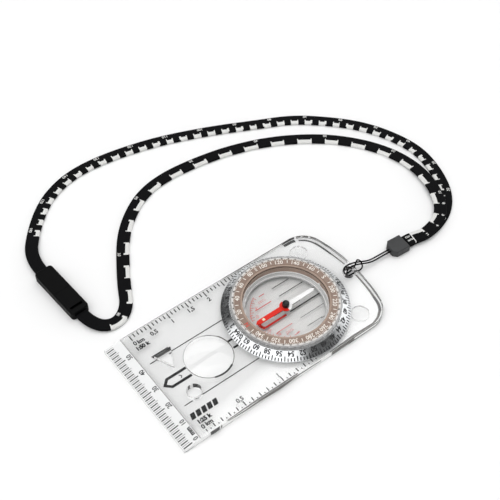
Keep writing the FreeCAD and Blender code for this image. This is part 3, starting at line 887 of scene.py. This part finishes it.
orienting = Print(cup_floor)
for x, reach, start, width, slot in (
    (12.9, 11.9, 2.3, 0.36, 0), (7.6, 15.9, 2.3, 0.36, 0), (-12.9, 11.9, 2.3, 0.26, 3),
    (-7.6, 15.9, 2.3, 0.26, 3), (2.1, 18.2, 1.0, 0.6, 0), (-2.1, 18.2, 1.0, 0.6, 0),
):
    orienting.bar(x, DIAL_Y - start, x, DIAL_Y - reach, width, slot)
for x, reach in ((12.9, 5.3), (7.6, 11.3)):
    for side in (-1, 1):
        orienting.bar(side * x, DIAL_Y + 2.3, side * x, DIAL_Y + reach, 0.36, 1 if side > 0 else 2)
ARROW_HALF = 2.35
sweep = [math.radians(a) for a in range(0, 181, 15)]
bend = [(ARROW_HALF * math.cos(a), DIAL_Y + 12.7 + 1.6 * math.sin(a)) for a in sweep]
orienting.path([(ARROW_HALF, DIAL_Y + 1.4)] + bend + [(-ARROW_HALF, DIAL_Y + 1.4)], 1.0, slot=1)
for side in (-1, 1):
    orienting.ring(DIAL, 15.75, 16.0, side * 14, side * 62, 2)
    for k in range(3, 13):
        a = side * 5 * k
        orienting.ring(DIAL, 14.3 if k % 2 == 0 else 14.95, 15.8, a - 0.5, a + 0.5, 2, step=ONE_PART)
    for value in (20, 40):
        orienting.arc_text(str(value), 1.3, DIAL, 13.3, side * value, slot=2)
    orienting.text("DECL", 1.2, (side * 10.2, DIAL_Y + 5.6), 0, slot=2)
orienting.make("print_orienting_lines", [INK_BLACK, INK_RED, INK_PINK, INK_GREY], "dial")


# ---------------------------------------------------------------- turned rings inside the capsule: a brown bezel and wall band, and white and grey rings on the clear cup's steps that are a painted highlight and painted shade
def turned(name, rings, material, body, turns=180):
    """Closed rings of revolution about the dial's axis, each a profile of (radius, height) points."""
    verts, faces = [], []
    for profile in rings:
        start, count = len(verts), len(profile)
        for i in range(turns):
            a = 2 * math.pi * i / turns
            verts += [(r * math.sin(a), DIAL_Y + r * math.cos(a), z) for r, z in profile]
        for i in range(turns):
            here, there = start + i * count, start + (i + 1) % turns * count
            for k in range(count):
                m = (k + 1) % count
                faces.append((here + k, here + m, there + m, there + k))
    piece = new_piece(name, verts, faces, [material], smooth=False)
    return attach(piece, body)


bore = CUP_BORE_R - 0.02
band_top = CUP_TOP_Z - 0.05
turned("cover_bezel", [
    [(CUP_BORE_R, 8.51), (CUP_BORE_R, 8.53), (20.36, 8.53), (20.36, 8.51)],
], WALL_BROWN, "dial")
turned("capsule_wall_band", [
    [(bore, 4.7), (bore, band_top), (bore - 0.1, band_top), (bore - 0.1, 4.7)],
], WALL_BROWN, "dial")
# White rings on the clear cup's steps: a painted highlight.
turned("capsule_step_highlights", [
    [(bore, 4.25), (bore, 4.65), (bore - 0.35, 4.65), (bore - 0.45, 4.45), (bore - 0.35, 4.25)],
    [(18.5, 2.95), (18.5, 3.25), (18.2, 3.25), (18.1, 2.95)],
], STEP_HIGHLIGHT, "dial")
# Grey rings at the foot of the clear cup's wall and floor: painted shade along its steps.
turned("capsule_foot_shade", [
    [(bore, 2.33), (bore, 4.2), (bore - 0.2, 4.2), (bore - 0.35, 3.6), (bore - 0.9, 3.3), (bore - 1.0, 2.33)],
    [(18.45, 2.33), (18.45, 2.9), (18.15, 2.9), (17.9, 2.33)],
], STEP_SHADE, "dial")


# ---------------------------------------------------------------- drawn reflections in the plate's edges
def measured(points):
    """Plan points, and the distance of each along them."""
    plan = np.array(points, float)
    return plan, np.r_[0, np.cumsum(np.linalg.norm(np.diff(plan, axis=0), axis=1))]


def rim_plan(inset):
    """The plate's outline, from the front of its west side round the back, and the distance of each point."""
    half, front, arch, corner = PLATE_W / 2, FRONT_Y, REAR_ARCH_R, REAR_CORNER_R
    cx, arch_y, reach = half - corner, arch - front, arch - corner
    cy = arch_y - math.sqrt(reach ** 2 - cx ** 2)
    lean = math.atan2(cy - arch_y, cx)
    r, big = corner - inset, arch - inset
    bends = [(-cx - r * math.cos(a), cy + r * math.sin(a)) for a in np.linspace(0, lean, 14)]
    arc = np.linspace(lean, -math.pi - lean, 26)[1:]
    back = [(-big * math.cos(a), arch_y + big * math.sin(a)) for a in arc]
    far = [(-x, y) for x, y in bends[::-1]][1:]
    edge = half - inset
    west_end, east_end = (-edge, front - inset), (edge, front - inset)
    return measured([west_end] + bends + back + far + [east_end, west_end])


def wall_skin(plan, run):
    """A skin over an upright wall: u is the distance along its plan and v the height."""
    def skin(u, v):
        here = [np.interp(u, run, plan[:, k]) for k in (0, 1)]
        before, after = ([np.interp(u + d, run, plan[:, k]) for k in (0, 1)] for d in (-0.05, 0.05))
        ahead = (after[0] - before[0], after[1] - before[1])
        length = math.hypot(*ahead) or 1
        return (here[0], here[1], v), (ahead[1] / length, -ahead[0] / length, 0)
    return skin


BAND_STEP = 0.8


def band(target, u0, u1, low0, high0, low1, high1, slot):
    """A band along a wall whose lower and upper edges run straight from one end to the other."""
    count = max(1, round((u1 - u0) / BAND_STEP))
    for k in range(count):
        a, b = k / count, (k + 1) / count
        target.solid([
            (u0 + (u1 - u0) * a, low0 + (low1 - low0) * a), (u0 + (u1 - u0) * b, low0 + (low1 - low0) * b),
            (u0 + (u1 - u0) * b, high0 + (high1 - high0) * b), (u0 + (u1 - u0) * a, high0 + (high1 - high0) * a),
        ], slot)


# Slots of the edge materials. Each band below is its start and end along the wall, its lower and upper
# height at the start, the same at the end, and its slot
WHITE, DARK, BROWN, SILVER, GREY = range(5)
EDGE_LOOKS = [EDGE_WHITE, EDGE_DARK, EDGE_BROWN, EDGE_SILVER, EDGE_GREY]
rim_wall = wall_skin(*rim_plan(0.06))
edge_dark = Print(rim_wall)
for mark in (
    (0.6, 5.0, 0.1, 0.5, 0.1, 0.4, SILVER), (13.0, 17.6, 0.2, 2.9, 0.2, 2.9, DARK),
    (18.3, 18.9, 0.6, 2.6, 0.6, 2.6, DARK), (22.0, 31.0, 2.4, 2.92, 1.3, 2.3, DARK),
    (31.0, 39.0, 1.3, 2.3, 1.2, 2.92, BROWN), (39.0, 50.0, 1.2, 2.92, 0.3, 2.92, BROWN),
    (50.0, 60.0, 0.3, 2.92, 1.5, 2.7, BROWN), (60.0, 72.0, 1.7, 2.5, 1.3, 1.9, DARK),
    (78.0, 91.0, 0.2, 2.9, 0.5, 2.92, BROWN), (88.0, 104.0, 2.2, 2.92, 2.2, 2.92, DARK),
    (88.0, 104.0, 0.1, 0.7, 0.1, 0.7, BROWN), (104.0, 112.0, 0.1, 0.9, 0.1, 0.9, DARK),
    (104.0, 110.0, 1.8, 2.6, 1.4, 2.9, DARK), (110.5, 115.5, 0.5, 2.9, 0.8, 2.9, DARK),
    (112.0, 137.0, 0.1, 0.8, 0.1, 0.8, BROWN), (117.0, 128.0, 1.2, 2.9, 1.2, 2.9, DARK),
    (128.0, 137.0, 1.2, 2.4, 1.9, 2.9, DARK), (144.0, 159.0, 1.9, 2.92, 1.4, 2.9, DARK),
    (144.0, 163.0, 0.1, 0.8, 0.1, 0.8, BROWN), (157.0, 165.0, 0.9, 2.2, 1.9, 2.9, DARK),
    (163.0, 166.5, 1.3, 2.9, 1.3, 2.9, BROWN), (167.3, 170.0, 1.1, 2.9, 1.3, 2.9, BROWN),
    (170.6, 173.0, 1.5, 2.9, 1.3, 2.9, BROWN), (163.0, 173.0, 0.1, 0.6, 0.1, 0.6, DARK),
    (174.0, 181.0, 0.1, 2.9, 0.1, 2.9, DARK), (181.0, 216.0, 1.9, 2.8, 2.1, 2.9, BROWN),
    (181.0, 216.0, 0.1, 0.6, 0.1, 0.5, SILVER), (216.0, 270.0, 2.2, 2.9, 2.2, 2.9, SILVER),
):
    band(edge_dark, *mark)
edge_dark.make("plate_edge_dark", EDGE_LOOKS[:4], "root")


def rim_under(u, v):
    """The plate's underside near its edge: u is the distance along the outline and v the distance in from it."""
    (x, y, _), (ex, ey, _) = rim_wall(u, 0.0)
    return (x - ex * v, y - ey * v, UNDER_Z), (0, 0, 1)


# Here the heights are distances in from the edge
edge_under = Print(rim_under, 0.018)
for mark in (
    (22.0, 39.0, 0.6, 1.2, 0.5, 1.7, BROWN), (39.0, 60.0, 0.5, 1.7, 0.7, 1.5, BROWN),
    (78.0, 92.0, 0.5, 1.4, 0.6, 2.0, BROWN), (92.0, 104.0, 0.6, 2.0, 0.8, 1.6, BROWN),
    (104.0, 112.0, 1.0, 1.8, 0.8, 2.0, BROWN), (112.0, 121.0, 0.5, 1.9, 0.9, 2.1, DARK),
    (121.0, 136.0, 0.9, 2.0, 1.2, 1.9, BROWN), (144.0, 153.0, 1.4, 1.9, 1.5, 2.2, BROWN),
    (153.0, 163.0, 1.4, 2.3, 1.2, 2.2, DARK), (163.0, 172.0, 1.4, 2.2, 1.0, 1.8, DARK),
    (174.0, 180.5, 0.2, 1.9, 0.2, 1.6, DARK),
):
    band(edge_under, *mark)
edge_under.make("plate_edge_under", EDGE_LOOKS[:3], "root")


def round_plan(centre, radius):
    """Points clockwise round a hole, from +Y."""
    return [
        (centre[0] + radius * math.sin(math.radians(a)), centre[1] + radius * math.cos(math.radians(a)))
        for a in range(0, 360, 6)
    ]


for name, plan, marks in (
    ("triangle_edges", TRIANGLE, (
        (0.1, 8.7, 0.15, 2.95, 0.15, 2.95, GREY), (9.0, 18.8, 2.2, 2.9, 2.2, 2.9, WHITE),
        (9.0, 18.8, 0.1, 0.5, 0.1, 0.5, SILVER), (19.2, 29.0, 1.9, 2.9, 1.9, 2.9, WHITE),
        (19.2, 29.0, 0.1, 0.4, 0.1, 0.4, SILVER),
    )),
    ("hole_edges", round_plan(STENCIL_HOLE, 3.36), (
        (0.0, 2.2, 2.0, 2.9, 1.2, 2.2, DARK), (2.2, 3.9, 0.1, 2.9, 0.1, 2.9, WHITE),
        (3.9, 5.2, 0.3, 2.9, 1.2, 2.9, GREY), (5.2, 6.6, 0.1, 2.9, 0.1, 2.9, WHITE),
        (6.6, 8.6, 0.6, 1.6, 1.6, 2.8, DARK), (8.6, 11.0, 1.4, 2.9, 0.3, 1.4, GREY),
        (11.0, 12.6, 0.1, 2.9, 0.1, 2.9, WHITE), (12.6, 13.6, 0.2, 1.2, 0.2, 2.0, DARK),
        (13.6, 21.0, 1.6, 2.9, 1.6, 2.9, WHITE), (16.0, 18.0, 0.1, 0.7, 0.1, 0.7, GREY),
    )),
    ("lanyard_hole_edges", round_plan(LANYARD_HOLE, 2.86), (
        (13.4, 17.4, 0.1, 2.9, 0.1, 2.9, DARK), (0.0, 3.0, 2.3, 2.9, 2.3, 2.9, SILVER),
        (6.0, 9.0, 0.2, 1.0, 0.2, 1.0, SILVER), (9.4, 12.0, 1.6, 2.9, 0.8, 1.8, GREY),
    )),
):
    wall = Print(wall_skin(*measured(plan + plan[:1])))
    for mark in marks:
        band(wall, *mark)
    wall.make(name, EDGE_LOOKS, "root")

inner_plan, inner_run = rim_plan(0.14)
total = inner_run[-1]
edge_bright = Print(wall_skin(inner_plan, inner_run))
for mark in (
    (0.1, 8.4, 0.08, 1.42, 0.08, 2.9, WHITE), (8.4, 106.0, 0.08, 2.92, 0.08, 2.92, WHITE),
    (total - 60.5, total - 0.1, 0.08, 1.42, 0.08, 1.42, WHITE),
):
    band(edge_bright, *mark)
edge_bright.make("plate_edge_bright", [EDGE_WHITE], "root")

# ---------------------------------------------------------------- floor, lights
FLOOR_SIDE = 3.0
FLOOR_CELLS = 24
FLOOR_Z = -0.05
corners = [(i / FLOOR_CELLS - 0.5) * FLOOR_SIDE / MM for i in range(FLOOR_CELLS + 1)]
verts = [(x, y, FLOOR_Z) for y in corners for x in corners]
row = FLOOR_CELLS + 1
faces = [
    (j * row + i, j * row + i + 1, (j + 1) * row + i + 1, (j + 1) * row + i)
    for j in range(FLOOR_CELLS) for i in range(FLOOR_CELLS)
]
paper = Nodes("floor_white")
paper.set(Base_Color=(0.825, 0.825, 0.825), Roughness=0.8, Normal=paper.bump(paper.noise(900, 3), 0.01 * MM))
paper.shader.inputs["Specular IOR Level"].default_value = 0.1
floor = new_piece("floor", verts, faces, [paper.material])

world = bpy.data.worlds.new("studio")
bpy.context.scene.world = world
world.use_nodes = True
sky = Graph(world.node_tree)
back_light = world.node_tree.nodes["Background"]
gaze = sky.add("ShaderNodeTexCoord").outputs["Generated"]
split = sky.add("ShaderNodeSeparateXYZ")
sky.link(gaze, split.inputs[0])
east_part, height_part = split.outputs["X"], split.outputs["Z"]
ramp = sky.add("ShaderNodeValToRGB")
stops = ramp.color_ramp.elements
stops[0].color = (0.25, 0.25, 0.25, 1)
for position, value in ((0.15, 1.8), (0.4, 0.6), (0.58, 0.9), (0.64, 1.8)):
    stops.new(position).color = (value, value, value, 1)
sky.link(height_part, ramp.inputs[0])
light = ramp.outputs["Color"]


def patch(light, aim, inner, outer, value):
    """That light again with a soft round patch of another value, its edges at angles from its middle."""
    dot = sky.add("ShaderNodeVectorMath", operation="DOT_PRODUCT")
    sky.link(gaze, dot.inputs[0])
    dot.inputs[1].default_value = Vector(aim).normalized()
    edges = [math.cos(math.radians(a)) for a in (outer, inner)]
    return sky.mix(sky.span(dot.outputs["Value"], 0, 1, *edges), light, (value,) * 3)


# Overhead, a bright panel as far east as 0.41, brighter still from 0.2 on, and a dark gap east of it
PANEL_LIGHT, NEAR_LIGHT, GAP_LIGHT, BACKGROUND_LIGHT = 2.1, 3.3, 0.2, 1.2
overhead = sky.span(height_part, 0, 1, 0.772, 0.79)
panel = sky.math("MULTIPLY", overhead, sky.span(east_part, 1, 0, 0.406, 0.422))
gap = sky.math("MULTIPLY", overhead, sky.span(east_part, 0, 1, 0.406, 0.422))
light = sky.mix(gap, light, (GAP_LIGHT,) * 3)
light = sky.mix(panel, light, (PANEL_LIGHT,) * 3)
near = sky.math("MULTIPLY", panel, sky.span(east_part, 0, 1, 0.14, 0.2))
light = sky.mix(near, light, (NEAR_LIGHT,) * 3)
# Each patch is its aim, the angles of its soft edge and its light
for patch_aim, inner, outer, value in (
    ((0.36, 0.68, 0.63), 16, 26, 1.7), ((0.04, -0.98, 0.2), 16, 30, 1.6),
    ((-0.62, -0.33, 0.71), 23, 30, 0.06), ((0.96, 0.2, 0.2), 26, 38, 0.04),
):
    light = patch(light, patch_aim, inner, outer, value)
# Past the floor, the camera sees plain white
seen = sky.add("ShaderNodeLightPath").outputs["Is Camera Ray"]
sky.link(sky.mix(seen, light, (BACKGROUND_LIGHT,) * 3), back_light.inputs["Color"])
back_light.inputs["Strength"].default_value = 0.9


KEY_PLACE = Vector((-0.5, 0.5, 1.3))
KEY_TARGET = Vector((0.03, -0.03, 0))
key = bpy.data.lights.new("key", "AREA")
key.shape = "RECTANGLE"
key.size = key.size_y = 1.5
key.energy = 1.5
lamp = bpy.data.objects.new("key", key)
bpy.context.scene.collection.objects.link(lamp)
lamp.location = KEY_PLACE
lamp.rotation_euler = (KEY_PLACE - KEY_TARGET).to_track_quat("Z", "Y").to_euler()
bpy.context.scene.view_settings.view_transform = "Standard"
